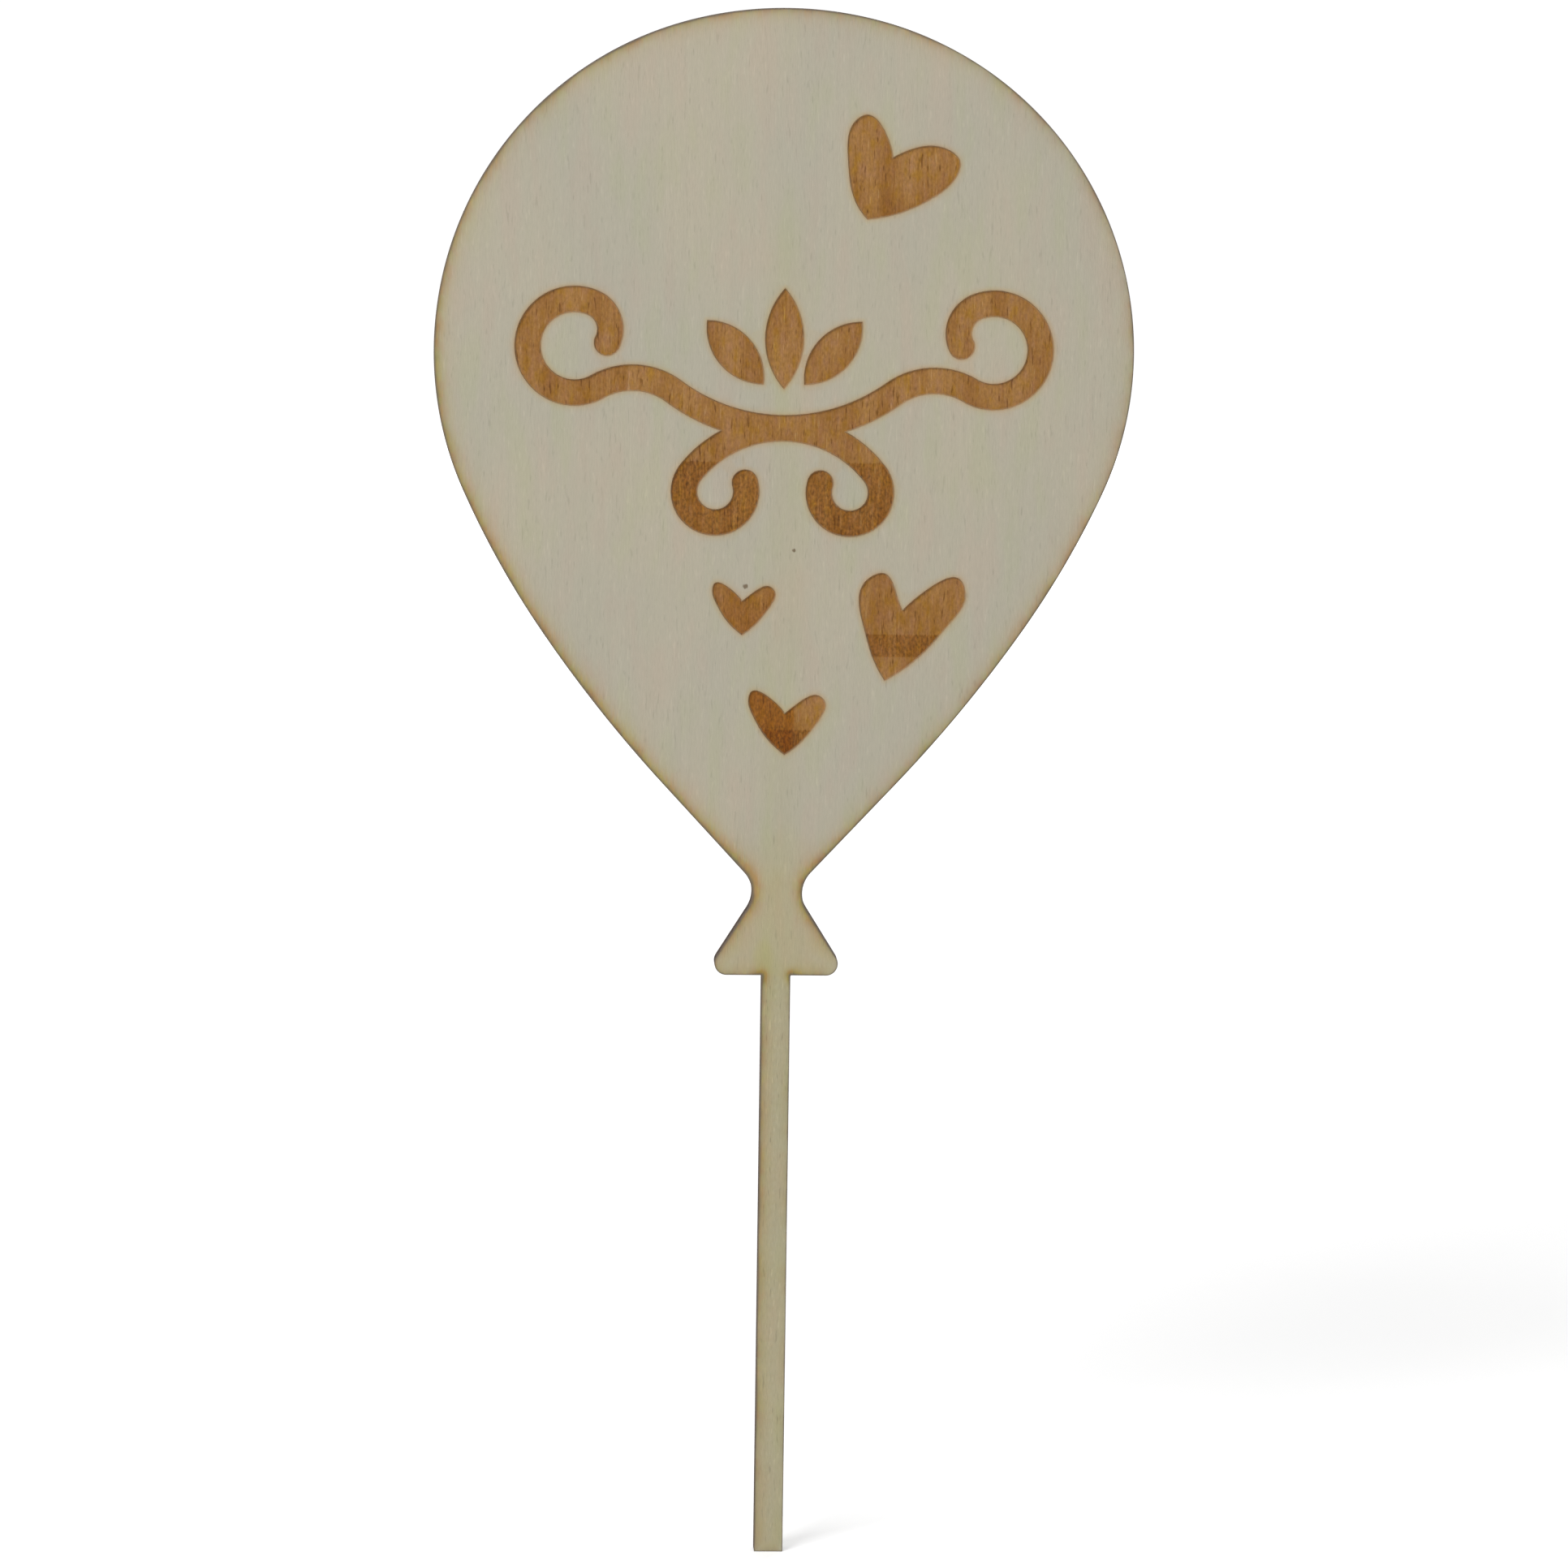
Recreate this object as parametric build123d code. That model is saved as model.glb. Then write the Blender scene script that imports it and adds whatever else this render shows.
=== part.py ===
from build123d import *
from math import cos, radians, sin
import os

# Flat balloon on a stick, cut from one sheet of three-ply wood and engraved on the front.
# Millimetres, front towards -Y, +Z up, the middle of the stick's lower end on the origin.

# The sheet, from front to back: veneer, glue film, cross-grained core, glue film, veneer.
face_ply = 0.9
core_ply = 1.0
glue_film = 0.1
engraving_depth = 0.3

# Arcs of the balloon from its top down to the straight flank, with the degrees that each one turns.
crown_radius = 48.0
crown_angle = 15.4
shoulder_radius = 43.8
shoulder_angle = 98.9
belly_radius = 114.0
belly_angle = 10.2
flank_radius = 175.0
flank_angle = 8.4

# Neck, knot and stick. The knot's sides slope by this many degrees from upright.
neck_width = 6.5
neck_radius = 4.0
knot_width = 16.0
knot_angle = 32.1
knot_corner = 1.55
stick_width = 3.75
stick_length = 76.3

# Ornament: how far its middle lies below the balloon's widest place, and the arcs of its two scrolls,
# which start level below that middle.
ornament_drop = 5.65
scroll_drop = 4.0
scroll_width = 3.4
upper_scroll_radii = [24.0, 9.0, 6.0, 3.7]
upper_scroll_angles = [36, -66, 232, 95]
lower_scroll_radii = [15.0, 4.0]
lower_scroll_angles = [-52, -235]

# Its leaves: one upright in the middle and one leaning to each side, from their roots above the middle.
leaf_width = 5.0
middle_leaf_length = 13.0
middle_leaf_root = (0, 1.0)
side_leaf_length = 11.0
side_leaf_root = (2.6, 1.6)
side_leaf_angle = 48

# Heart shapes in shares of their height: the notch and the left lobe, then from the tip (0, 0) the right lobe.
fat_heart = [
    [(0.236, 0.596), (0.187, 0.776), (-0.033, 0.998), (-0.119, 0.949), (-0.195, 0.569), (-0.112, 0.155)],
    [(0.361, 0.082), (0.639, 0.222), (0.806, 0.359), (0.877, 0.567), (0.699, 0.699), (0.453, 0.690)],
]
tall_heart = [
    [(0.157, 0.659), (0.118, 0.753), (-0.024, 1), (-0.185, 0.930), (-0.196, 0.475), (-0.088, 0.151)],
    [(0.205, 0.131), (0.405, 0.313), (0.601, 0.544), (0.735, 0.782), (0.688, 0.945), (0.354, 0.834)],
]
wide_heart = [
    [(-0.008, 0.645), (-0.227, 0.876), (-0.529, 0.970), (-0.567, 0.837), (-0.501, 0.617), (-0.312, 0.297)],
    [(0.214, 0.159), (0.408, 0.377), (0.577, 0.625), (0.621, 0.807), (0.526, 0.920), (0.233, 0.831)],
]
# Heights of the hearts, and their tips from the middle of the balloon's widest place.
upper_heart_height = 13.4
upper_heart_tip = (10.4, 17.2)
right_heart_height = 13.95
right_heart_tip = (13.5, -42.15)
left_heart_height = 6.85
left_heart_tip = (-5.0, -36.4)
lower_heart_height = 8.4
lower_heart_tip = (0.7, -51.9)

# Slope of the balloon's straight flank from upright, and the front planes of the layers.
flank_slope = crown_angle + shoulder_angle + belly_angle + flank_angle - 90
front_plane = -(2 * face_ply + 2 * glue_film + core_ply) / 2
front_glue_plane = front_plane + face_ply
core_plane = front_glue_plane + glue_film
back_glue_plane = core_plane + core_ply
back_plane = back_glue_plane + glue_film


# Arcs that go on smoothly from each other; an angle to the left is positive.
def follow(start, heading, radii, angles):
    arcs = []
    for radius, angle in zip(radii, angles):
        arcs.append(JernArc(start, heading, radius, angle))
        start = arcs[-1] @ 1
        heading = arcs[-1] % 1
    return arcs


# Right side of the balloon from its top, at (0, 0), down to the straight flank.
def balloon_side():
    radii = [crown_radius, shoulder_radius, belly_radius, flank_radius]
    angles = [-crown_angle, -shoulder_angle, -belly_angle, -flank_angle]
    return follow((0, 0), (1, 0), radii, angles)


# The flank ends where the neck's arc, whose waist is the neck's width, takes over from it.
def neck_side(balloon):
    start = balloon[-1] @ 1
    end_x = neck_width / 2 + neck_radius * (1 - cos(radians(flank_slope)))
    flank = PolarLine(start, (start.X - end_x) / sin(radians(flank_slope)), direction=balloon[-1] % 1)
    return [flank, JernArc(flank @ 1, flank % 1, neck_radius, flank_slope + knot_angle)]


# The knot's side ends where its rounded corner, whose outermost place is the knot's width, begins.
def knot_side(neck):
    start = neck @ 1
    end_x = knot_width / 2 - knot_corner * (1 - cos(radians(knot_angle)))
    side = PolarLine(start, (end_x - start.X) / sin(radians(knot_angle)), direction=neck % 1)
    corner = JernArc(side @ 1, side % 1, knot_corner, -90 - knot_angle)
    under = Line(corner @ 1, (stick_width / 2, (corner @ 1).Y))
    return [side, corner, under]


# The cut outline as a face standing on (0, 0), and the height of the balloon's widest place.
def outline():
    balloon = balloon_side()
    neck = neck_side(balloon)
    knot = knot_side(neck[-1])
    stick = PolarLine(knot[-1] @ 1, stick_length, direction=(0, -1))
    end = Line(stick @ 1, (0, (stick @ 1).Y))
    half = Curve() + [*balloon, *neck, *knot, stick, end]
    height = -(end @ 1).Y
    widest = height + (balloon[1] @ 0).Y - shoulder_radius * cos(radians(crown_angle))
    return Pos(0, height) * make_face(half + mirror(half, Plane.YZ)), widest


# A heart: one curve from its notch over the left lobe to its tip, and one back over the right lobe.
def heart(shape, height, tip):
    left, right = [[(tip[0] + height * x, tip[1] + height * y) for x, y in side] for side in shape]
    return make_face([Spline(*left, tip), Spline(tip, *right, left[0])])


# A pointed leaf from its root outwards at this angle.
def leaf(root, length, angle):
    edge = ThreePointArc((0, 0), (length / 2, leaf_width / 2), (length, 0))
    return Pos(*root) * Rot(0, 0, angle) * make_face(edge + mirror(edge, Plane.XZ))


# A round-ended stroke along arcs.
def scroll(radii, angles):
    arcs = follow((0, -scroll_drop), (1, 0), radii, angles)
    return SlotArc(Wire(arcs), scroll_width)


# Scrolls and side leaves on the right with their mirror images, and a leaf in the middle.
def ornament():
    right = leaf(side_leaf_root, side_leaf_length, side_leaf_angle)
    right += scroll(upper_scroll_radii, upper_scroll_angles)
    right += scroll(lower_scroll_radii, lower_scroll_angles)
    middle = leaf(middle_leaf_root, middle_leaf_length, 90)
    return Pos(0, -ornament_drop) * (right + mirror(right, Plane.YZ) + middle)


def all_marks(widest):
    marks = ornament()
    marks += heart(fat_heart, upper_heart_height, upper_heart_tip)
    marks += heart(tall_heart, right_heart_height, right_heart_tip)
    marks += heart(wide_heart, left_heart_height, left_heart_tip)
    marks += heart(wide_heart, lower_heart_height, lower_heart_tip)
    return Pos(0, widest) * marks


# A sheet of this outline from a plane backwards.
def layer(face, plane, thickness):
    return extrude(Plane.XZ.offset(-plane) * face, -thickness)


def front_veneer(face, marks):
    return layer(face, front_plane, face_ply) - layer(marks, front_plane, engraving_depth)


def front_glue_line(face):
    return layer(face, front_glue_plane, glue_film)


def core_veneer(face):
    return layer(face, core_plane, core_ply)


def back_glue_line(face):
    return layer(face, back_glue_plane, glue_film)


def back_veneer(face):
    return layer(face, back_plane, face_ply)


face, widest = outline()
plies = {
    "front_veneer": front_veneer(face, all_marks(widest)),
    "front_glue_line": front_glue_line(face),
    "core_veneer": core_veneer(face),
    "back_glue_line": back_glue_line(face),
    "back_veneer": back_veneer(face),
}
os.makedirs("parts", exist_ok=True)
for node, ply in plies.items():
    export_step(ply, f"parts/{node}.step")
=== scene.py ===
from math import asin, cos, e, pi, radians, sin
import bmesh
import bpy
import numpy as np
from mathutils import Matrix, Vector
from mathutils.geometry import delaunay_2d_cdt


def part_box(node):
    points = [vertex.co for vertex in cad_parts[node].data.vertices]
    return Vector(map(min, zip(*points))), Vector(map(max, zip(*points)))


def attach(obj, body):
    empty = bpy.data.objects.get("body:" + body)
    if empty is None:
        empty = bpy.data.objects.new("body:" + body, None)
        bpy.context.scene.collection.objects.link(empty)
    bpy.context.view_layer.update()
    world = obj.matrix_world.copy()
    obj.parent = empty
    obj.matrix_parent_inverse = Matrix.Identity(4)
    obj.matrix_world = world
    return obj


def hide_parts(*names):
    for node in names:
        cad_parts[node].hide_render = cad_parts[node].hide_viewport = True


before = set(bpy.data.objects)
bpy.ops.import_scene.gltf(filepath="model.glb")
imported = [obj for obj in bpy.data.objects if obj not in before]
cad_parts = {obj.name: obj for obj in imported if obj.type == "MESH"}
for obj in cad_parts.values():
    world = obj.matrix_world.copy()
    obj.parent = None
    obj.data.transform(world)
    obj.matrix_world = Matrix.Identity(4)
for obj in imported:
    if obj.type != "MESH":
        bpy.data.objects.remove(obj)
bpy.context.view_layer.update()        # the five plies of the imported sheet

print("frame loaded:", ", ".join(sorted(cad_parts)))

# Shapes are worked out in millimetres as (x, z) in the sheet's plane, with y through the sheet from front
# to back, and go into the meshes in metres.
metre = 0.001
mirror = np.array([-1, 1])
arcStep = radians(12)         # most that an arc turns between two of its points
mostAtOnce = 4000             # points that are measured at once, to save memory


# Points and headings along runs that go on from each other, and where they end. A run is (length, turn), and
# a turn to the left is positive. At length s on a run of curvature k, the point lies s * sinc(k * s / 2) from
# the run's start, in the direction half-way between the first heading and the one reached.
def followRuns(start, heading, runs, spacing):
    points = []
    headings = []
    place = np.array(start, float)
    for length, turn in runs:
        steps = int(np.ceil(max(length / spacing, abs(turn) / arcStep))) if length else 0
        share = np.linspace(0, 1, steps + 1) if steps else np.ones(1)
        reach = share * length * np.sinc(share * turn / (2 * pi))
        middle = heading + share * turn / 2
        run = place + reach[:, None] * np.stack([np.cos(middle), np.sin(middle)], axis=1)
        points.append(run[:-1])
        headings.append(heading + share[:-1] * turn)
        place = run[-1]
        heading += turn
    return np.concatenate(points), np.concatenate(headings), place


# The cut line: arcs from the balloon's top down, then the straight flank, neck, knot and stick.
cutLine = {
    "crown": (48.0, 15.4),        # radius, degrees that it turns
    "shoulder": (43.8, 98.9),
    "belly": (114.0, 10.2),
    "flank": (175.0, 8.4),
    "neckWidth": 6.5,
    "neckRadius": 4.0,
    "knotWidth": 16.0,
    "knotSlope": 32.1,            # degrees from upright
    "knotCorner": 1.55,
    "stickWidth": 3.75,
    "stickLength": 76.3,
    "innerCorner": 0.15,          # radius that the beam leaves where the stick meets the knot
    "footCorner": 0.12,
    "spacing": 0.25,
}


# Right half of the cut line from the top of the balloon to the middle of the stick's foot.
def cutRuns(c):
    arcs = [(c[part][0], radians(c[part][1])) for part in ("crown", "shoulder", "belly", "flank")]
    balloon = [(radius * turn, -turn) for radius, turn in arcs]
    balloonEnd = followRuns((0, 0), 0, balloon, c["spacing"])[2]
    slope = sum(turn for radius, turn in arcs) - pi / 2
    knotSlope = radians(c["knotSlope"])
    neckTurn = slope + knotSlope
    knotTurn = pi / 2 + knotSlope
    waist = c["neckWidth"] / 2 + c["neckRadius"]        # centres of the neck's and the knot corner's arcs
    corner = c["knotWidth"] / 2 - c["knotCorner"]
    flank = (balloonEnd[0] - waist + c["neckRadius"] * cos(slope)) / sin(slope)
    knotSide = (corner - waist + (c["neckRadius"] + c["knotCorner"]) * cos(knotSlope)) / sin(knotSlope)
    return balloon + [
        (flank, 0),
        (c["neckRadius"] * neckTurn, neckTurn),
        (knotSide, 0),
        (c["knotCorner"] * knotTurn, -knotTurn),
        (corner - c["stickWidth"] / 2 - c["innerCorner"], 0),
        (c["innerCorner"] * pi / 2, pi / 2),
        (c["stickLength"] - c["innerCorner"] - c["footCorner"], 0),
        (c["footCorner"] * pi / 2, -pi / 2),
        (c["stickWidth"] / 2 - c["footCorner"], 0),
    ]


# The whole cut line clockwise from the top, its outward normals, and the height of the balloon's widest
# place, which is the centre of the shoulder's arc.
def cutOutline(c):
    right, headings, foot = followRuns((0, 0), 0, cutRuns(c), c["spacing"])
    right -= foot
    normals = np.stack([-np.sin(headings), np.cos(headings)], axis=1)
    points = np.concatenate([right, right[:0:-1] * mirror])
    crownRadius, crownTurn = c["crown"]
    shoulderRadius = c["shoulder"][0]
    widest = right[0, 1] - crownRadius + (crownRadius - shoulderRadius) * cos(radians(crownTurn))
    return points, np.concatenate([normals, normals[:0:-1] * mirror]), widest


cutPoints, cutNormals, widestHeight = cutOutline(cutLine)
print("cut line:", len(cutPoints), "points, widest at", round(widestHeight, 2), "mm")

# Scroll ornament: two scrolls from one place below its middle, a leaf to each side and one upright.
scrollOrnament = {
    "middle": (0, -5.65),         # from the balloon's widest place
    "scrollStart": (0, -4.0),
    "scrollWidth": 3.4,
    "upperScroll": [(24.0, 36), (9.0, -66), (6.0, 232), (3.7, 95)],        # radius, degrees to the left
    "lowerScroll": [(15.0, -52), (4.0, -235)],
    "leafWidth": 5.0,
    "sideLeaf": ((2.6, 1.6), 11.0, 48),        # root, length, degrees from level
    "middleLeaf": ((0, 1.0), 13.0, 90),
    "spacing": 0.2,
}


# Rim of a round-ended stroke along arcs: out on its right side, round its end, back on its left side, round
# its start. A side is as long as the arc and its turn times half the width, more on the outside of the bend.
def strokeRim(start, arcs, width, spacing):
    half = width / 2
    runs = [(radius * abs(radians(turn)), radians(turn)) for radius, turn in arcs]
    out = [(length + turn * half, turn) for length, turn in runs]
    back = [(length - turn * half, -turn) for length, turn in reversed(runs)]
    end = [(pi * half, pi)]
    return followRuns((start[0], start[1] - half), 0, out + end + back + end, spacing)[0]


# Rim of a leaf between two equal arcs: out along the right one, round the tip, back along the left one.
def leafRim(root, length, angle, width, spacing):
    radius = (length ** 2 + width ** 2) / (4 * width)
    half = asin(length / 2 / radius)
    side = (2 * half * radius, 2 * half)
    tip = (0, pi - 2 * half)
    return followRuns(root, radians(angle) - half, [side, tip, side, tip], spacing)[0]


# Rims of the ornament's strokes and leaves, counter-clockwise, with the mirror images of those on the right.
def ornamentRims(o):
    spacing = o["spacing"]
    right = [
        strokeRim(o["scrollStart"], o["upperScroll"], o["scrollWidth"], spacing),
        strokeRim(o["scrollStart"], o["lowerScroll"], o["scrollWidth"], spacing),
        leafRim(*o["sideLeaf"], o["leafWidth"], spacing),
    ]
    left = [rim[::-1] * mirror for rim in right]
    middle = leafRim(*o["middleLeaf"], o["leafWidth"], spacing)
    return [rim + o["middle"] for rim in right + left + [middle]]


# Hearts: corners in shares of the height, first the notch and the left lobe, then from the tip, which is at
# (0, 0), the right lobe.
heartMarks = {
    "fat": [
        [(0.236, 0.596), (0.187, 0.776), (-0.033, 0.998), (-0.119, 0.949), (-0.195, 0.569), (-0.112, 0.155)],
        [(0.361, 0.082), (0.639, 0.222), (0.806, 0.359), (0.877, 0.567), (0.699, 0.699), (0.453, 0.690)],
    ],
    "tall": [
        [(0.157, 0.659), (0.118, 0.753), (-0.024, 1), (-0.185, 0.930), (-0.196, 0.475), (-0.088, 0.151)],
        [(0.205, 0.131), (0.405, 0.313), (0.601, 0.544), (0.735, 0.782), (0.688, 0.945), (0.354, 0.834)],
    ],
    "wide": [
        [(-0.008, 0.645), (-0.227, 0.876), (-0.529, 0.97), (-0.567, 0.837), (-0.501, 0.617), (-0.312, 0.297)],
        [(0.214, 0.159), (0.408, 0.377), (0.577, 0.625), (0.621, 0.807), (0.526, 0.920), (0.233, 0.831)],
    ],
    "places": [        # shape, height, tip from the balloon's widest place
        ("fat", 13.4, (10.4, 17.2)),
        ("tall", 13.95, (13.5, -42.15)),
        ("wide", 6.85, (-5.0, -36.4)),
        ("wide", 8.4, (0.7, -51.9)),
    ],
    "spacing": 0.15,
}


# A cubic spline through corners over their chord lengths: between two corners it is their straight line and
# the cubes that their bends add, and the bends follow from equal slopes at each corner. At its two ends it
# has the slope of the one cubic through the four corners there.
def splineThrough(corners, spacing):
    gaps = np.linalg.norm(np.diff(corners, axis=0), axis=1)
    slopes = np.diff(corners, axis=0) / gaps[:, None]
    knots = np.append(0, np.cumsum(gaps))
    firstSlope = np.polyfit(knots[:4], corners[:4], 3)[2]
    lastSlope = np.polyfit(knots[-4:] - knots[-1], corners[-4:], 3)[2]
    before = np.append(0, gaps)
    after = np.append(gaps, 0)
    system = np.diag(2 * (before + after)) + np.diag(gaps, 1) + np.diag(gaps, -1)
    bends = np.linalg.solve(system, 6 * np.diff(np.vstack([firstSlope, slopes, lastSlope]), axis=0))
    along = np.arange(0, knots[-1], spacing)
    piece = np.searchsorted(knots, along, side="right") - 1
    gap = gaps[piece][:, None]
    share = ((along - knots[piece]) / gaps[piece])[:, None]
    rest = 1 - share
    cubes = (rest ** 3 - rest) * bends[piece] + (share ** 3 - share) * bends[piece + 1]
    return rest * corners[piece] + share * corners[piece + 1] + gap ** 2 / 6 * cubes


# Rims of the hearts: a spline from the notch over the left lobe to the tip, and one back over the right lobe.
def heartRims(h):
    rims = []
    for shape, height, tip in h["places"]:
        left, right = h[shape]
        sides = [left + [(0, 0)], [(0, 0)] + right + left[:1]]
        curves = [splineThrough(np.array(side) * height + tip, h["spacing"]) for side in sides]
        rims.append(np.concatenate(curves))
    return rims


markRims = [rim + (0, widestHeight) for rim in ornamentRims(scrollOrnament) + heartRims(heartMarks)]
print("marks:", len(markRims), "rims,", sum(len(rim) for rim in markRims), "points")


# The points in parts small enough to be measured at once.
def inParts(points):
    return np.array_split(points, len(points) // mostAtOnce + 1)


# The corner of a line nearest to each point p: the c for which c.c - 2 p.c is least.
def nearestCorner(points, line):
    return np.concatenate([((line ** 2).sum(1) - 2 * part @ line.T).argmin(1) for part in inParts(points)])


# Distance of points from a closed line: to the nearer of the two sides that meet at the nearest corner.
def distanceToLine(points, line):
    nearest = nearestCorner(points, line)
    distances = []
    for first, second in ((nearest - 1, nearest), (nearest, nearest + 1)):
        start = line[first]
        side = line[second % len(line)] - start
        share = np.clip(((points - start) * side).sum(1) / (side ** 2).sum(1), 0, 1)
        distances.append(np.linalg.norm(points - start - share[:, None] * side, axis=1))
    return np.minimum(*distances)


# How deep points lie inside a rim, negative outside. A point is inside if a level ray from it crosses an odd
# number of the rim's sides.
def depthInside(points, rim):
    distance = distanceToLine(points, rim)
    start, end = rim, np.roll(rim, -1, axis=0)
    spans = (start[:, 1] > points[:, 1:]) != (end[:, 1] > points[:, 1:])
    rise = np.where(start[:, 1] == end[:, 1], 1, end[:, 1] - start[:, 1])
    crossing = start[:, 0] + (end[:, 0] - start[:, 0]) * (points[:, 1:] - start[:, 1]) / rise
    inside = (spans & (points[:, :1] < crossing)).sum(1) % 2 == 1
    return np.where(inside, distance, -distance)


# How deep points lie inside the marks, where the deepest one counts. Further outside them than a margin it
# is minus the margin.
def markDepth(points, margin=1.0):
    depth = np.full(len(points), -margin)
    for rim in markRims:
        near = np.all((points > rim.min(0) - margin) & (points < rim.max(0) + margin), axis=1)
        if near.any():
            depth[near] = np.maximum(depth[near], depthInside(points[near], rim))
    return depth


# 0 before the start and 1 after the end, and between them 3 s^2 - 2 s^3 at the share s of the way.
def smoothShare(value, start, end):
    share = np.clip((value - start) / (end - start), 0, 1)
    return share * share * (3 - 2 * share)


cutScorch = {
    "reach": 3.0,                 # how far heat goes into the wood
    "lineStep": 4,                # every how many points of the cut line are summed for it
    "plain": 0.25,
    "leftward": 0.3,              # more on cuts that face left, where the smoke was blown
    "low": 0.45,                  # more low on the balloon, and there more to the left
    "lowLeftward": 0.12,
    "lowFrom": (168, 122),        # heights between which that sets in, and ends again
    "lowTo": (92, 79),
    "stick": -0.40,               # less on the stick, and still less at its foot
    "stickFrom": (78, 74),
    "foot": -0.2,
    "footFrom": (48, 18),
    "innerCorner": (1.5, 1.0),    # more where the beam turned between knot and stick: how much, how far
    "knotCorner": (-0.55, 1.7),   # less round the knot's corners
    "neck": (0.5, 5.0),           # more in the neck
    "neckHeight": 87.4,
    "patches": [                  # more in some places: x, z, how much, how far
        (5.6, 82.8, 0.35, 4.0),
        (4.0, 88.5, 0.5, 4.0),
        (-4.0, 91.0, 0.6, 3.0),
    ],
}


# Heat that narrow parts got from more than the nearest cut. A cut heats a place by the sum over its line of
# reach^2 / (2 * (distance^2 + reach^2)^1.5), which beside a long straight cut comes to
# reach^2 / (distance^2 + reach^2).
def crossHeat(points, s):
    square = s["reach"] ** 2
    line = cutPoints[::s["lineStep"]]
    lengths = np.linalg.norm(np.roll(line, -1, axis=0) - line, axis=1)
    heat = []
    for part in inParts(points):
        squares = ((part[:, None] - line) ** 2).sum(2) + square
        heat.append(square / 2 * squares ** -1.5 @ lengths)
    straight = square / (distanceToLine(points, cutPoints) ** 2 + square)
    return np.concatenate(heat) - straight


# Share of a spot that is left at each point: exp(-(distance / spread)^2).
def spotShare(points, place, spread):
    return np.exp(-(np.linalg.norm(points - place, axis=1) / spread) ** 2)


# How strongly the wood beside each point is scorched: a plain share, changed by the way that the nearest cut
# faces, by the height, and by spots round corners on both sides and round single places.
def scorchStrength(points, s, c):
    outward = cutNormals[nearestCorner(points, cutPoints), 0]
    low = smoothShare(points[:, 1], *s["lowFrom"]) * (1 - smoothShare(points[:, 1], *s["lowTo"]))
    strength = s["plain"] - s["leftward"] * outward + low * (s["low"] - s["lowLeftward"] * outward)
    strength += s["stick"] * smoothShare(points[:, 1], *s["stickFrom"])
    strength += s["foot"] * smoothShare(points[:, 1], *s["footFrom"])
    corners = {
        "innerCorner": (c["stickWidth"] / 2, c["stickLength"]),
        "knotCorner": (c["knotWidth"] / 2 - c["knotCorner"], c["stickLength"] + c["knotCorner"]),
        "neck": (c["neckWidth"] / 2, s["neckHeight"]),
    }
    oneSide = np.stack([abs(points[:, 0]), points[:, 1]], axis=1)
    for name, place in corners.items():
        more, spread = s[name]
        strength += more * spotShare(oneSide, place, spread)
    for x, z, more, spread in s["patches"]:
        strength += more * spotShare(points, (x, z), spread)
    return strength


# One array of points and one of edges from closed lines, of which only the places marked as kept are used.
def joinLines(lines, kept):
    keep = np.concatenate(kept)
    starts = np.cumsum([0] + [len(line) for line in lines[:-1]])
    rings = [start + np.roll(np.arange(len(line)), -1) for start, line in zip(starts, lines)]
    following = np.concatenate(rings)
    number = np.cumsum(keep) - 1
    both = keep & keep[following]
    return np.concatenate(lines)[keep], np.stack([number[both], number[following[both]]], axis=1)


# Triangles over everything inside the edges, with a corner at every loose point as well.
def fillFace(points, edges, loose):
    everything = np.concatenate([points, *loose])
    insideEdges = 1
    sameCorner = 1e-4
    filled = delaunay_2d_cdt(everything.tolist(), edges.tolist(), [], insideEdges, sameCorner)
    return np.array(filled[0]), np.array(filled[2])


# Points in level rows, each row half a step out of line with the next.
def staggeredPoints(low, high, spacing):
    across = np.arange(low[0], high[0], spacing)
    up = np.arange(low[1], high[1], spacing * sin(pi / 3))
    x, z = np.meshgrid(across, up)
    x[1::2] += spacing / 2
    return np.stack([x.ravel(), z.ravel()], axis=1)


# Rows of a ply's wall as (inset, y): a quarter round in front, a straight stretch, a quarter round behind.
def wallProfile(front, back, frontRound, backRound, straightRows=4, roundRows=4):
    angle = np.linspace(0, pi / 2, roundRows)
    start = np.stack([frontRound * (1 - np.sin(angle)), front + frontRound * (1 - np.cos(angle))], axis=1)
    end = np.stack([backRound * (1 - np.cos(angle)), back - backRound * (1 - np.sin(angle))], axis=1)
    straight = np.linspace(start[-1], end[0], straightRows + 2)[1:-1]
    return np.concatenate([start, straight, end])


# Corners and quads of the wall: a grid of the profile's rows by the points of the cut line.
def cutWall(profile):
    inset = profile[:, 0, None, None]
    flat = cutPoints - inset * cutNormals
    depth = np.broadcast_to(profile[:, 1, None, None], flat[..., :1].shape)
    corners = np.concatenate([flat[..., :1], depth, flat[..., 1:]], axis=2)
    around = len(cutPoints)
    number = np.arange(len(profile) * around).reshape(-1, around)
    following = np.roll(number, -1, axis=1)
    quads = np.stack([number[:-1], following[:-1], following[1:], number[1:]], axis=2)
    return corners.reshape(-1, 3), quads.reshape(-1, 4)


pieceFinish = {
    "weld": 0.001,                # corners that lie this near become one
    "sharpAngle": 40,             # degrees between faces from which an edge shows
}


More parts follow.
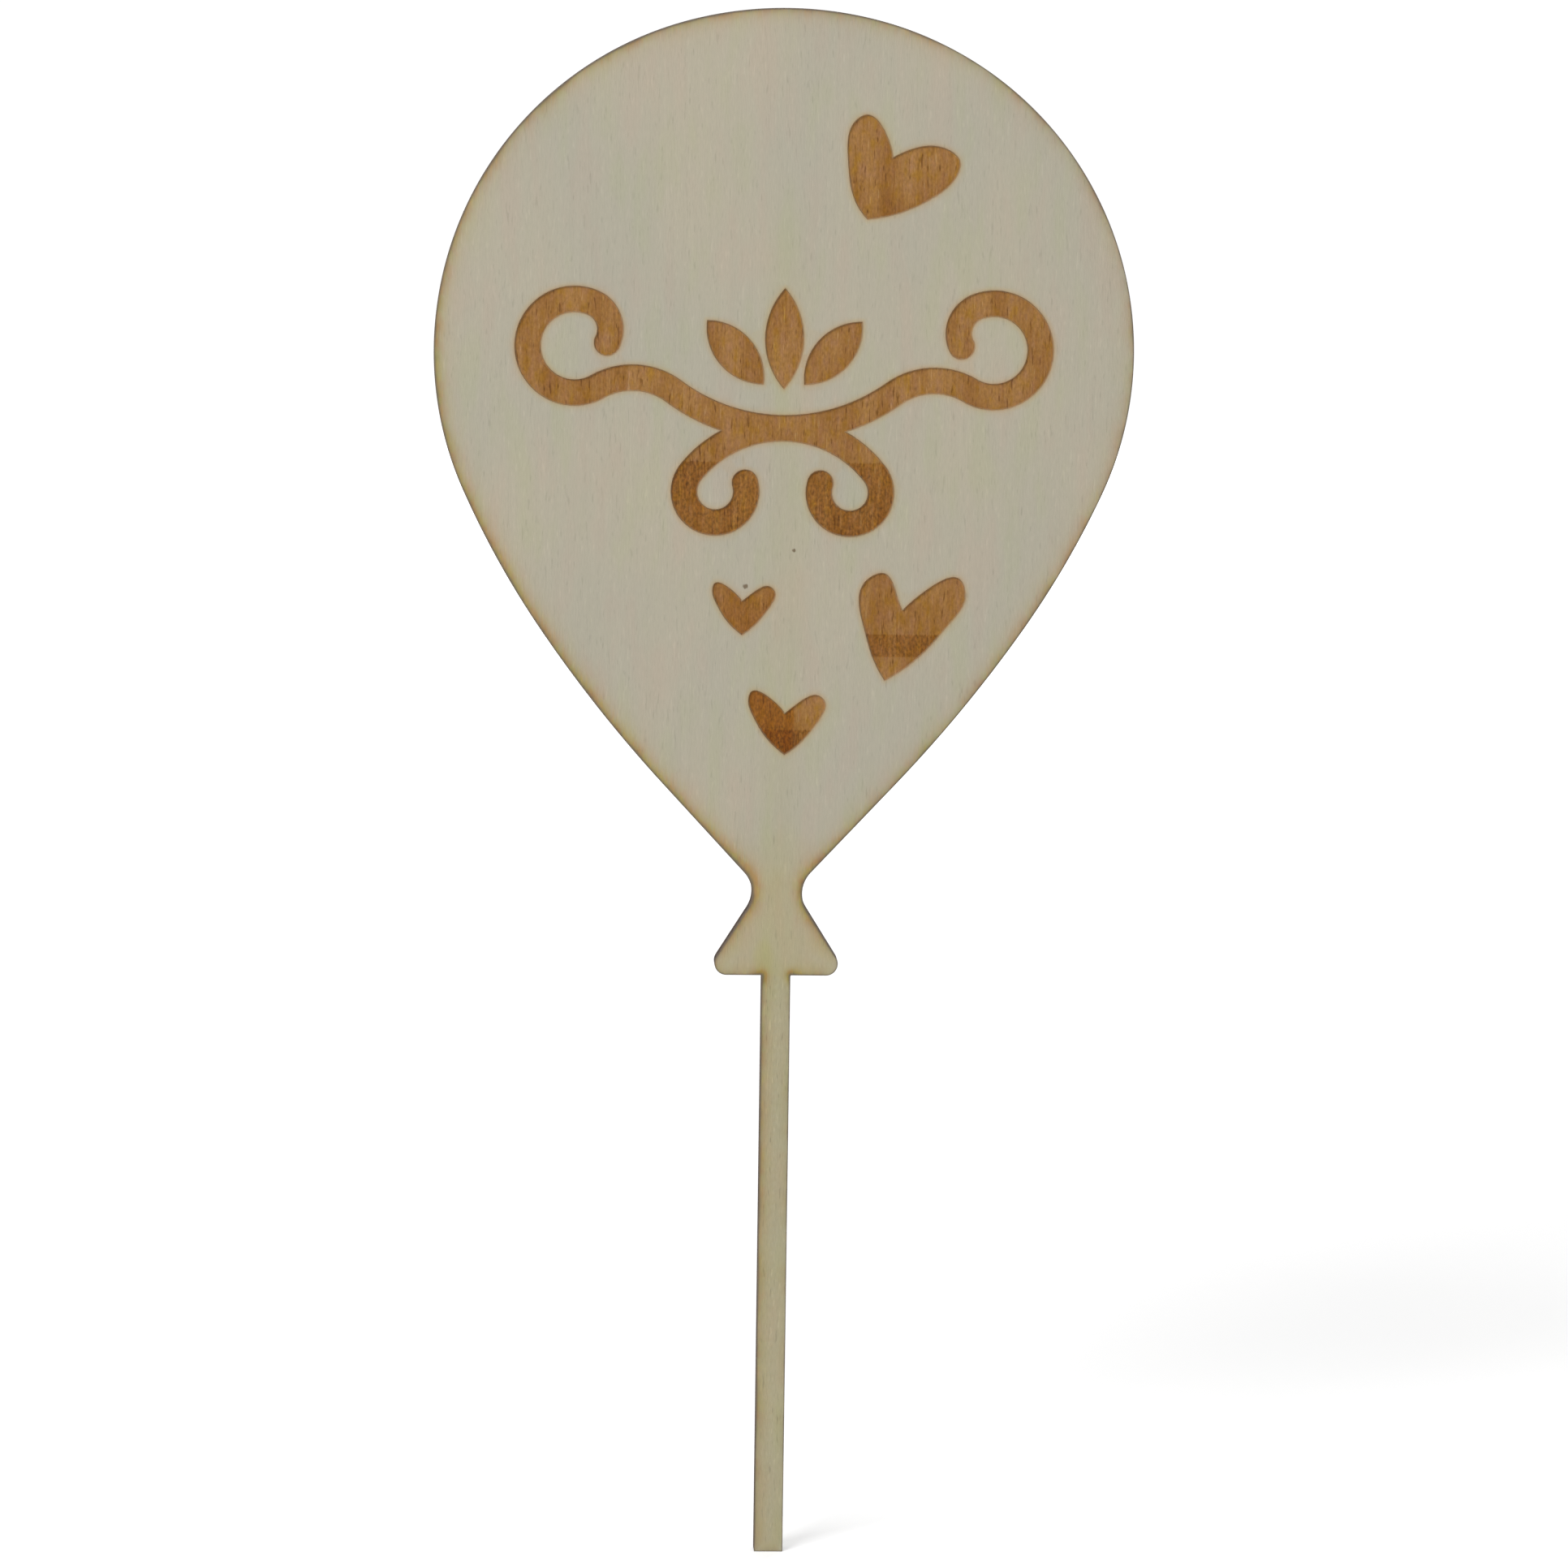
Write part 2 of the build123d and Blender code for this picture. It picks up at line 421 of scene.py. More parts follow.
# A closed piece from parts of (corners in mm, faces): welded where they meet, facing outwards, edges sharp.
def closedPiece(name, parts, f):
    starts = np.cumsum([0] + [len(corners) for corners, _ in parts])
    faces = [row for start, (_, part) in zip(starts, parts) for row in (part + start).tolist()]
    mesh = bpy.data.meshes.new(name)
    mesh.from_pydata((np.concatenate([corners for corners, _ in parts]) * metre).tolist(), [], faces)
    shell = bmesh.new()
    shell.from_mesh(mesh)
    bmesh.ops.remove_doubles(shell, verts=shell.verts, dist=f["weld"] * metre)
    bmesh.ops.recalc_face_normals(shell, faces=shell.faces)
    shell.to_mesh(mesh)
    shell.free()
    mesh.shade_smooth()
    mesh.set_sharp_from_angle(angle=radians(f["sharpAngle"]))
    piece = bpy.data.objects.new(name, mesh)
    bpy.context.scene.collection.objects.link(piece)
    return piece


# Corners of a finished piece in mm.
def cornersOf(piece):
    flat = np.zeros(len(piece.data.vertices) * 3)
    piece.data.vertices.foreach_get("co", flat)
    return flat.reshape(-1, 3) / metre


# One value for each corner, for the material to read.
def addAttribute(piece, name, value):
    piece.data.attributes.new(name, "FLOAT", "POINT").data.foreach_set("value", value.astype(np.float32))


cutZone = {
    "width": 0.12,                # how near to the cut line a corner counts as cut
    "behindFace": (-0.01, 0.12),  # where behind a face the cut sets in, and from where on it is full
}


# Share of the cut in each corner: 1 on the cut wall, 0 on a face in front of it or behind it. A side without
# such a face lies infinitely far away.
def addCutShare(piece, front, back, c):
    corners = cornersOf(piece)
    distance = distanceToLine(corners[:, [0, 2]], cutPoints)
    fromFace = np.minimum(corners[:, 1] - front, back - corners[:, 1])
    share = smoothShare(fromFace, *c["behindFace"])
    addAttribute(piece, "cutShare", np.where(distance < c["width"], share, 0))


# What the scorch is made of: distance to the cut, heat of narrow parts, and strength.
def addScorch(piece):
    flat = cornersOf(piece)[:, [0, 2]]
    addAttribute(piece, "edgeDistance", distanceToLine(flat, cutPoints))
    addAttribute(piece, "crossHeat", crossHeat(flat, cutScorch))
    addAttribute(piece, "scorch", scorchStrength(flat, cutScorch, cutLine))


# Front and back plane of a node of the frame, in mm.
def nodePlanes(node):
    low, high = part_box(node)
    return low.y / metre, high.y / metre


# Points of the sheet's plane as (x, y, z), with one y for all of them or one for each.
def lift(flat, y):
    depth = np.broadcast_to(y, len(flat))
    return np.stack([flat[:, 0], depth, flat[:, 1]], axis=1)


plainFace = {
    "edgeRows": [        # rows inside the cut line: how far in, every how many points of the line
        (0.2, 1), (0.35, 1), (0.5, 1), (0.7, 2), (0.95, 2), (1.3, 2), (1.8, 4), (2.5, 4), (3.5, 4), (5.0, 4),
    ],
    "clear": 0.97,                # share of that distance that a point keeps from every part of the line
    "gridSpacing": 1.6,
}
hiddenFace = {"inset": 0.4, "every": 4}        # one such row in faces that don't show


# Points of a face that follow the scorch: rows along the cut line, wider apart further in, where no other
# part of the line is nearer, and a staggered grid in the middle.
def facePoints(p):
    rows = []
    for inset, every in p["edgeRows"]:
        row = (cutPoints - inset * cutNormals)[::every]
        rows.append(row[distanceToLine(row, cutPoints) > inset * p["clear"]])
    grid = staggeredPoints(cutPoints.min(0), cutPoints.max(0), p["gridSpacing"])
    innermost = p["edgeRows"][-1][0]
    rows.append(grid[depthInside(grid, cutPoints) > innermost + p["gridSpacing"] / 2])
    return np.concatenate(rows)


scorchPoints = facePoints(plainFace)
hiddenPoints = (cutPoints - hiddenFace["inset"] * cutNormals)[::hiddenFace["every"]]


# A hidden or plain face at depth y inside an inset of the cut line.
def plyFace(inset, y, loose):
    rim = cutPoints - inset * cutNormals
    points, edges = joinLines([rim], [np.ones(len(rim), bool)])
    flat, triangles = fillFace(points, edges, [loose])
    return lift(flat, y), triangles


frontVeneer = {
    "edgeRound": 0.09,
    "innerRound": 0.03,
    "engravingDepth": 0.3,
    "wallRun": 0.09,              # how far the engraving's wall leans
    "footTolerance": 0.01,        # by how much a point of the wall's foot may miss that
    "rimRows": [-0.45, -0.15, 0.045, 0.25],        # loose rows beside a mark's rim, inwards
    "rowTolerance": 0.02,         # by how much a point of a row may miss its inset
    "floorGap": 0.15,             # from the last row to the points of the floor
    "faceGap": 0.4,               # from the first row to the points of the face round the mark
    "floorSpacing": 0.36,
    "floorRelief": 0.035,
    "reliefDepth": 0.4,           # how far inside the rim the relief is full
    "reliefGrain": [((0.45, 5), 3, 1.0), ((0.3, 1.6), 4, 0.6)],        # cell, seed, share
}


# Streaks along the grain between -1 and 1: random values on a lattice of these cells, smoothed between them.
def grainStreaks(points, cell, seed, cells=128):
    table = np.random.default_rng(seed).uniform(-1, 1, (cells, cells))
    place = points / cell
    low = np.floor(place).astype(int)
    share = smoothShare(place - low, 0, 1)
    x0, z0 = (low % cells).T
    x1, z1 = ((low + 1) % cells).T
    lower = table[x0, z0] * (1 - share[:, 0]) + table[x1, z0] * share[:, 0]
    upper = table[x0, z1] * (1 - share[:, 0]) + table[x1, z1] * share[:, 0]
    return lower * (1 - share[:, 1]) + upper * share[:, 1]


# A mark's rim moved inwards along its normals.
def insetRim(rim, inset):
    along = np.roll(rim, -1, axis=0) - np.roll(rim, 1, axis=0)
    along /= np.linalg.norm(along, axis=1)[:, None]
    return rim + inset * np.stack([-along[:, 1], along[:, 0]], axis=1)


# Whether points of a moved rim are as deep in the marks as they were moved, and not in another mark.
def atInset(row, inset, tolerance):
    return abs(markDepth(row) - inset) < tolerance


# The engraved front: depth grows smoothly from a mark's rim over the wall's run to a streaky floor.
def engravedFace(v, front):
    rim = cutPoints - v["edgeRound"] * cutNormals
    lines = [rim, *markRims]
    kept = [np.ones(len(line), bool) for line in lines]
    loose = []
    for mark in markRims:
        foot = insetRim(mark, v["wallRun"])
        lines.append(foot)
        kept.append(atInset(foot, v["wallRun"], v["footTolerance"]))
        rows = [(insetRim(mark, inset), inset) for inset in v["rimRows"]]
        loose += [row[atInset(row, inset, v["rowTolerance"])] for row, inset in rows]
    marks = np.concatenate(markRims)
    floor = staggeredPoints(marks.min(0), marks.max(0), v["floorSpacing"])
    loose.append(floor[markDepth(floor) > v["rimRows"][-1] + v["floorGap"]])
    loose.append(scorchPoints[markDepth(scorchPoints) < v["rimRows"][0] - v["faceGap"]])
    points, edges = joinLines(lines, kept)
    flat, triangles = fillFace(points, edges, loose)
    depth = markDepth(flat)
    relief = sum(share * grainStreaks(flat, cell, seed) for cell, seed, share in v["reliefGrain"])
    relief *= v["floorRelief"] * smoothShare(depth, v["wallRun"], v["reliefDepth"])
    sunk = (v["engravingDepth"] + relief) * smoothShare(depth, 0, v["wallRun"])
    return lift(flat, front + sunk), triangles


# Engraved face, rounded wall and flat inner face.
def makeFrontVeneer(v):
    front, back = nodePlanes("front_veneer")
    wall = cutWall(wallProfile(front, back, v["edgeRound"], v["innerRound"]))
    inner = plyFace(v["innerRound"], back, hiddenPoints)
    piece = closedPiece("frontVeneerWood", [engravedFace(v, front), wall, inner], pieceFinish)
    addCutShare(piece, front, np.inf, cutZone)
    addScorch(piece)
    addAttribute(piece, "markDepth", markDepth(cornersOf(piece)[:, [0, 2]]))
    return piece


backVeneer = {"edgeRound": 0.07, "innerRound": 0.03}


# Flat inner face, rounded wall and plain outer face.
def makeBackVeneer(v):
    front, back = nodePlanes("back_veneer")
    wall = cutWall(wallProfile(front, back, v["innerRound"], v["edgeRound"]))
    inner = plyFace(v["innerRound"], front, hiddenPoints)
    outer = plyFace(v["edgeRound"], back, scorchPoints)
    piece = closedPiece("backVeneerWood", [inner, wall, outer], pieceFinish)
    addCutShare(piece, -np.inf, back, cutZone)
    addScorch(piece)
    return piece


innerPlies = {"coreRound": 0.03, "glueRound": 0.03, "straightRows": 3}


# Two flat faces and a rounded wall, for the core and for the glue films.
def makeInnerPly(name, node, edgeRound):
    front, back = nodePlanes(node)
    wall = cutWall(wallProfile(front, back, edgeRound, edgeRound, innerPlies["straightRows"]))
    faces = [plyFace(edgeRound, y, hiddenPoints) for y in (front, back)]
    piece = closedPiece(name, [*faces, wall], pieceFinish)
    addCutShare(piece, -np.inf, np.inf, cutZone)
    return piece


frontPiece = makeFrontVeneer(frontVeneer)
print("front veneer:", len(frontPiece.data.polygons), "faces")
backPiece = makeBackVeneer(backVeneer)
print("back veneer:", len(backPiece.data.polygons), "faces")
corePiece = makeInnerPly("coreVeneerWood", "core_veneer", innerPlies["coreRound"])
frontGlue = makeInnerPly("frontGlueFilm", "front_glue_line", innerPlies["glueRound"])
backGlue = makeInnerPly("backGlueFilm", "back_glue_line", innerPlies["glueRound"])
print("core and glue:", [len(piece.data.polygons) for piece in (corePiece, frontGlue, backGlue)], "faces")


# A socket in a material. Arithmetic on it adds Math nodes, and node() adds any other node.
class Wire:
    def __init__(self, tree, socket=None):
        self.tree = tree
        self.socket = socket

    def node(self, kind, settings, inputs, output=0):
        made = self.tree.nodes.new("ShaderNode" + kind)
        for name, value in settings.items():
            setattr(made, name, value)
        for name, value in inputs.items():
            if isinstance(value, Wire):
                self.tree.links.new(value.socket, made.inputs[name])
            else:
                made.inputs[name].default_value = value
        return Wire(self.tree, made.outputs[output] if made.outputs else None)

    def math(self, operation, first, second):
        return self.node("Math", {"operation": operation}, {0: first, 1: second})

    def __add__(self, other):
        return self.math("ADD", self, other)

    def __radd__(self, other):
        return self.math("ADD", other, self)

    def __sub__(self, other):
        return self.math("SUBTRACT", self, other)

    def __rsub__(self, other):
        return self.math("SUBTRACT", other, self)

    def __mul__(self, other):
        return self.math("MULTIPLY", self, other)

    def __rmul__(self, other):
        return self.math("MULTIPLY", other, self)

    def __truediv__(self, other):
        return self.math("DIVIDE", self, other)

    def __rpow__(self, other):
        return self.math("POWER", other, self)


# A material without nodes, and a wire to add them with.
def newPaint(name):
    material = bpy.data.materials.new(name)
    material.use_nodes = True
    material.node_tree.nodes.clear()
    return material, Wire(material.node_tree)


# A value that is stored on the piece's corners.
def attributeOf(paint, name):
    return paint.node("Attribute", {"attribute_name": name}, {}, "Fac")


# Noise round 0 with features of this size in mm along x, y and z.
def noiseOf(paint, size, shift, detail=2.0):
    place = paint.node("TexCoord", {}, {}, "Object")
    scale = tuple(1 / (metre * one) for one in size)
    mapped = paint.node("Mapping", {}, {"Vector": place, "Location": (shift, shift, shift), "Scale": scale})
    return paint.node("TexNoise", {}, {"Vector": mapped, "Scale": 1.0, "Detail": detail}) - 0.5


# 0 up to one value and 1 from the other, smooth between them.
def fade(value, start, end):
    limits = {"Value": value, "From Min": start, "From Max": end}
    return value.node("MapRange", {"interpolation_type": "SMOOTHSTEP"}, limits)


# From 0 to 1 over this width on both sides of a level, or from 1 to 0 if the width is negative.
def fadeAt(value, level, width):
    return fade(value, level - width, level + width)


# The value kept between 0 and 1.
def clampOne(value):
    return value.node("Clamp", {}, {"Value": value})


# Share that is left at a distance: exp(-distance / reach).
def decay(distance, reach):
    return e ** (distance / -reach)


# A Mix node's sockets 0, 6 and 7 are the factor and its two colours, and its output 2 is a colour.
def mixColour(factor, first, second, blend="MIX"):
    settings = {"data_type": "RGBA", "blend_type": blend}
    return factor.node("Mix", settings, {0: factor, 6: first, 7: second}, 2)


# The colour times the tint, as far as the factor goes.
def tintColour(colour, factor, tint):
    return mixColour(factor, colour, tint, "MULTIPLY")


# One tint where a noise is high and another where it is low, each full from this level on.
def tintSides(colour, noise, high, low, level=0.2):
    colour = tintColour(colour, fade(noise, 0.0, level), high)
    return tintColour(colour, fade(noise, 0.0, -level), low)


# The colour made lighter or darker by a factor.
def scaleColour(colour, factor):
    return factor.node("VectorMath", {"operation": "SCALE"}, {0: colour, "Scale": factor})


# Distance to the right of the middle and height above the stick's foot, in mm.
def placeInSheet(paint):
    place = paint.node("TexCoord", {}, {}, "Object")
    x = paint.node("SeparateXYZ", {}, {0: place}, "X") / metre
    z = paint.node("SeparateXYZ", {}, {0: place}, "Z") / metre
    return x, z


# Share of an upright strip, which sets in between two x on the left, two on the right and two z at its top.
def stripShare(x, z, left, right, top):
    return fade(x, *left) * fade(x, *right) * fade(z, *top)


# (across / reach across)^2 + (up / reach up)^2 from a place: 0 in its middle and 1 on its rim.
def farFrom(x, z, place, reachAcross, reachUp):
    across = (x - place[0]) / reachAcross
    up = (z - place[1]) / reachUp
    return across * across + up * up


# A tint round some places, fullest in the middle and gone a little outside the rim.
def stainColour(colour, x, z, stains, tint):
    for place, reachAcross, reachUp, share in stains:
        away = farFrom(x, z, place, reachAcross, reachUp)
        colour = tintColour(colour, share * fade(away, 1.4, 0.1), tint)
    return colour


# The surface, with the height as fine bumps in it.
def finishPaint(paint, colour, roughness, height, look):
    bump = paint.node("Bump", {}, {"Strength": 1.0, "Distance": look["bump"] * metre, "Height": height})
    shader = paint.node("BsdfPrincipled", {}, {
        "Base Color": colour,
        "Roughness": roughness,
        "Specular IOR Level": look["specular"],
        "Normal": bump,
    })
    paint.node("OutputMaterial", {}, {"Surface": shader})


paleWood = {
    "warm": (0.462, 0.420, 0.322, 1),
    "cool": (0.440, 0.412, 0.326, 1),
    "patches": ((16, 9, 30), 3.1),           # noises, here and below: size in mm, shift, and detail if not 2
    "streaks": ((0.8, 2, 24), 7.7, 3.0),
    "fibres": ((0.17, 1, 0.9), 1.3),
    "flecks": ((0.26, 1, 1.9), 5.9, 1.0),
    "darkFlecks": (0.15, 0.27),              # levels of that noise between which they set in
    "lightFlecks": (-0.15, -0.27),
    "tones": ((3.2, 4, 13), 6.6),
    "pink": (1.022, 0.98, 0.987, 1),         # tints where the tones are high, and where they are low
    "green": (0.978, 1.008, 0.945, 1),
    "wander": ((40, 9, 40), 9.2),
    "band": (0.99, 0.99, 0.94, 1),           # tint of a yellow band up the middle
    "bandLeft": (-3.6, -0.3),                # x between which it sets in from both sides, and z from above
    "bandRight": (4.4, 1.0),
    "bandTop": (182, 166),
    "warmth": ((3, 3, 7), 4.1),
    "narrow": (0.975, 0.942, 0.79, 1),       # tint of narrow parts, heated from both sides
    "narrowHeat": (0.0, 0.36),
    "thin": (0.985, 0.995, 1.04, 1),         # further tint of the thin stick
    "thinHeat": (0.4, 0.62),
    "stain": (0.98, 0.98, 0.85, 1),          # tint of yellow stains above the stick's root and in the neck
    "stains": [                              # (x, z), reach across, reach up, share
        ((-1.7, 78.7), 1.4, 2.4, 1.0),
        ((0.5, 91.0), 4.5, 5.0, 0.4),
    ],
    "roughness": 0.62,
    "cutRoughness": 0.15,                    # what the cut and the burnt marks add to it
    "burntRoughness": 0.2,
    "specular": 0.25,
    "bump": 0.035,
}


# Pale veneer with upright grain: cool and warm patches, streaks, fibres and short dark and light flecks.
def paleGrain(paint, w):
    patches = noiseOf(paint, *w["patches"])
    streaks = noiseOf(paint, *w["streaks"])
    fibres = noiseOf(paint, *w["fibres"])
    flecks = noiseOf(paint, *w["flecks"])
    tones = noiseOf(paint, *w["tones"])
    heat = attributeOf(paint, "crossHeat") + 0.15 * noiseOf(paint, *w["warmth"])
    thin = fade(heat, *w["thinHeat"])
    fine = 0.15 * fibres - 0.12 * fade(flecks, *w["darkFlecks"]) + 0.08 * fade(flecks, *w["lightFlecks"])
    shade = 1 + 0.07 * streaks + 0.03 * patches + (1 + thin) * fine
    colour = scaleColour(mixColour(fadeAt(patches, 0, 0.2), w["cool"], w["warm"]), shade)
    colour = tintSides(colour, tones, w["pink"], w["green"])
    x, z = placeInSheet(paint)
    across = x + 3.0 * noiseOf(paint, *w["wander"])
    band = stripShare(across, z, w["bandLeft"], w["bandRight"], w["bandTop"])
    colour = tintColour(colour, band, w["band"])
    colour = tintColour(colour, fade(heat, *w["narrowHeat"]), w["narrow"])
    colour = tintColour(colour, thin, w["thin"])
    colour = stainColour(colour, x, z, w["stains"], w["stain"])
    return colour, 0.5 * fibres + 0.8 * flecks + 0.4 * streaks


scorchedEdge = {
    "uneven": ((3.5, 3, 4.5), 2.2, 3.0),     # noise of the strength
    "ragged": ((0.3, 1, 2.2), 3.7),
    "orangeHalo": (1.0, 0.69, 0.38, 1),      # tints of the halo in patches
    "yellowHalo": (0.965, 0.80, 0.38, 1),
    "haloPatches": ((1.4, 2, 2.0), 1.4),
    "haloReach": 0.9,                        # mm
    "plainHalo": 0.65,                       # share of the halo where the strength is 0
    "band": (0.50, 0.61, 0.68, 1),           # darker tint of the band along the rim, and where it is redder
    "hotBand": (0.62, 0.54, 0.56, 1),
    "spots": ((1.6, 2, 2.0), 6.1),
    "bandReach": 0.42,
    "plainBand": 0.65,
    "rim": (0.155, 0.125, 0.095, 1),         # colour of the very rim, and its width
    "rimWidth": 0.28,
    "rimShare": 0.9,
}


# Scorch beside the cut: a halo and a band, each exp(-distance / reach), stronger where the smoke went and in
# patches, and dark at the very rim.
def scorchEdges(paint, colour, s):
    distance = attributeOf(paint, "edgeDistance")
    uneven = noiseOf(paint, *s["uneven"])
    ragged = noiseOf(paint, *s["ragged"])
    spots = noiseOf(paint, *s["spots"])
    strength = attributeOf(paint, "scorch") + 1.2 * uneven
    halo = clampOne((s["plainHalo"] + strength) * decay(distance + 0.9 * ragged, s["haloReach"]))
    haloTint = mixColour(fadeAt(noiseOf(paint, *s["haloPatches"]), 0, 0.1), s["orangeHalo"], s["yellowHalo"])
    colour = tintColour(colour, halo, haloTint)
    band = (s["plainBand"] + 0.5 * strength) * (1 + 2.0 * spots + 1.5 * ragged)
    bandTint = mixColour(fade(spots, 0.0, 0.2), s["band"], s["hotBand"])
    colour = tintColour(colour, clampOne(band * decay(distance, s["bandReach"])), bandTint)
    rim = fade(distance, s["rimWidth"] + 0.12 * strength + 0.3 * uneven, 0.02)
    return mixColour(s["rimShare"] * rim, colour, s["rim"])


burntMark = {
    "light": (0.358, 0.182, 0.056, 1),
    "dark": (0.280, 0.125, 0.029, 1),
    "broad": ((2.6, 2, 14), 4.4),
    "streaks": ((0.35, 1, 5), 8.3, 3.0),
    "crumbs": ((0.3, 1, 0.5), 3.3),
    "veins": ((0.24, 1, 1.9), 0.6, 1.0),
    "vein": (0.50, 0.42, 0.30, 1),           # tint of the veins, and between which levels they set in
    "veinLevels": (0.14, 0.25),
    "fleck": (1.28, 1.42, 1.8, 1),           # the same of pale flecks
    "fleckLevels": (-0.16, -0.27),
    "band": (0.75, 0.63, 0.36, 1),           # tint where the beam burnt more
    "bands": [(142.9, 129.3), (120.8, 117.9), (108.3, 100.0)],        # heights of such bands, top and bottom
    "bandBlur": 0.1,
    "grain": (0.87, 0.70, 0.34, 1),          # tint of a strip of grain that burns darker
    "grainLeft": (-14, -11),                 # x between which it sets in from both sides, and z from above
    "grainRight": (2.1, 1.5),
    "grainTop": (131, 114),
    "tones": ((1.0, 2, 2.2), 2.6),
    "mustard": (0.985, 0.97, 0.52, 1),       # tints where the tones are high, and where they are low
    "rosy": (1.015, 1.015, 1.36, 1),
    "deep": (0.87, 0.81, 0.58, 1),           # tint of some darker places
    "deepPlaces": [                          # (x, z), reach across, reach up, share
        ((13.5, 175.6), 2.6, 2.6, 0.9),
        ((19.3, 123.0), 2.0, 3.4, 0.9),
        ((-4.6, 123.6), 2.6, 2.2, 0.35),
        ((0.8, 108.6), 3.2, 2.8, 0.9),
    ],
    "fringe": (1.0, 0.88, 0.74, 1),          # tint of the wood beside the marks
    "fringeDepth": (-0.75, 0.0),             # depths between which it sets in, then those of the brown
    "brownDepth": (-0.2, 0.26),
    "speck": (0.14, 0.09, 0.047, 1),
    "specks": [((1.54, 131.6), 0.26), ((-4.67, 126.9), 0.36)],        # stray burns: (x, z), radius
    "speckShare": 0.85,
}


# The engraving burnt brown: streaks, veins and crumbs of the grain, darker in level bands where the beam
# passed and in a strip of the grain, and stray burns.
def burnMarks(paint, colour, b):
    depth = attributeOf(paint, "markDepth")
    x, z = placeInSheet(paint)
    streaks = noiseOf(paint, *b["streaks"])
    veins = noiseOf(paint, *b["veins"])
    crumbs = noiseOf(paint, *b["crumbs"])
    tones = noiseOf(paint, *b["tones"])
    level = z + 0.5 * crumbs
    blur = b["bandBlur"]
    passes = sum(fadeAt(level, bottom, blur) * fadeAt(level, top, -blur) for top, bottom in b["bands"])
    across = x + 1.5 * streaks
    grain = stripShare(across, z, b["grainLeft"], b["grainRight"], b["grainTop"])
    brown = mixColour(fadeAt(noiseOf(paint, *b["broad"]) + 0.6 * streaks, 0, 0.25), b["light"], b["dark"])
    brown = tintColour(brown, passes * (0.9 + 1.2 * streaks), b["band"])
    brown = tintColour(brown, grain, b["grain"])
    brown = scaleColour(brown, 1 + (0.8 + passes + 0.8 * grain) * crumbs)
    brown = tintColour(brown, 0.9 * fade(veins, *b["veinLevels"]), b["vein"])
    brown = tintColour(brown, fade(veins + 0.3 * crumbs, *b["fleckLevels"]), b["fleck"])
    brown = tintSides(brown, tones, b["mustard"], b["rosy"])
    brown = stainColour(brown, x, z, b["deepPlaces"], b["deep"])
    colour = tintColour(colour, fade(depth, *b["fringeDepth"]), b["fringe"])
    colour = mixColour(fade(depth + 0.2 * crumbs, *b["brownDepth"]), colour, brown)
    for place, radius in b["specks"]:
        away = farFrom(x, z, place, radius, radius) + 2 * veins
        colour = mixColour(b["speckShare"] * fade(away, 1.2, 0.2), colour, b["speck"])
    return colour, streaks + veins + crumbs


charredCut = {
    "light": (0.135, 0.080, 0.047, 1),
    "dark": (0.058, 0.037, 0.023, 1),
    "beam": ((0.35, 6, 0.35), 2.7, 3.0),
    "blotches": ((2.5, 1.2, 2.5), 5.2),
}


# Charred wood of the cut, with fine marks of the beam across the sheet.
def charredWall(paint, c):
    beam = noiseOf(paint, *c["beam"])
    blotches = noiseOf(paint, *c["blotches"])
    return mixColour(fade(beam + blotches, -0.25, 0.3), c["dark"], c["light"]), beam


# Outer veneer: pale grain, scorched beside the cut, charred on it, and burnt in the marks if it is engraved.
def veneerPaint(name, engraved):
    material, paint = newPaint(name)
    colour, height = paleGrain(paint, paleWood)
    colour = scorchEdges(paint, colour, scorchedEdge)
    cut = attributeOf(paint, "cutShare")
    roughness = paleWood["roughness"] + paleWood["cutRoughness"] * cut
    if engraved:
        colour, floor = burnMarks(paint, colour, burntMark)
        burnt = fade(attributeOf(paint, "markDepth"), 0.0, 0.1)
        height = height + burnt * floor
        roughness = roughness + paleWood["burntRoughness"] * burnt
    wall, beam = charredWall(paint, charredCut)
    finishPaint(paint, mixColour(cut, colour, wall), roughness, height + cut * beam, paleWood)
    return material


coreWood = {
    "pale": (0.43, 0.36, 0.24, 1),
    "deep": (0.36, 0.28, 0.17, 1),
    "streaks": ((22, 2, 0.8), 4.9, 3.0),
    "pores": ((0.5, 0.2, 0.5), 7.3),
    "cutShade": 0.5,                         # on the cut it is darker than the veneers, with light pores
    "roughness": 0.65,
    "cutRoughness": 0.2,
    "specular": 0.2,
    "bump": 0.03,
}


# Cross-grained core: level streaks on its faces, charred where it is cut.
def corePaint(name, w):
    material, paint = newPaint(name)
    streaks = noiseOf(paint, *w["streaks"])
    pores = noiseOf(paint, *w["pores"])
    cut = attributeOf(paint, "cutShare")
    wood = mixColour(fadeAt(streaks, 0, 0.2), w["deep"], w["pale"])
    wall, beam = charredWall(paint, charredCut)
    wall = scaleColour(wall, w["cutShade"] + 0.8 * pores)
    roughness = w["roughness"] + w["cutRoughness"] * cut
    finishPaint(paint, mixColour(cut, wood, wall), roughness, streaks + cut * (beam + pores), w)
    return material


glueFilm = {
    "thin": (0.13, 0.085, 0.05, 1),
    "thick": (0.075, 0.048, 0.03, 1),
    "burnt": (0.020, 0.014, 0.011, 1),
    "blotches": ((4, 1, 7), 1.9, 3.0),
    "roughness": 0.5,
    "cutRoughness": 0.3,
    "specular": 0.3,
    "bump": 0.02,
}


# Dark glue film, blotchy between the veneers and burnt almost black on the cut.
def gluePaint(name, g):
    material, paint = newPaint(name)
    blotches = noiseOf(paint, *g["blotches"])
    cut = attributeOf(paint, "cutShare")
    film = mixColour(fadeAt(blotches, 0, 0.2), g["thin"], g["thick"])
    roughness = g["roughness"] + g["cutRoughness"] * cut
    finishPaint(paint, mixColour(cut, film, g["burnt"]), roughness, blotches, g)
    return material


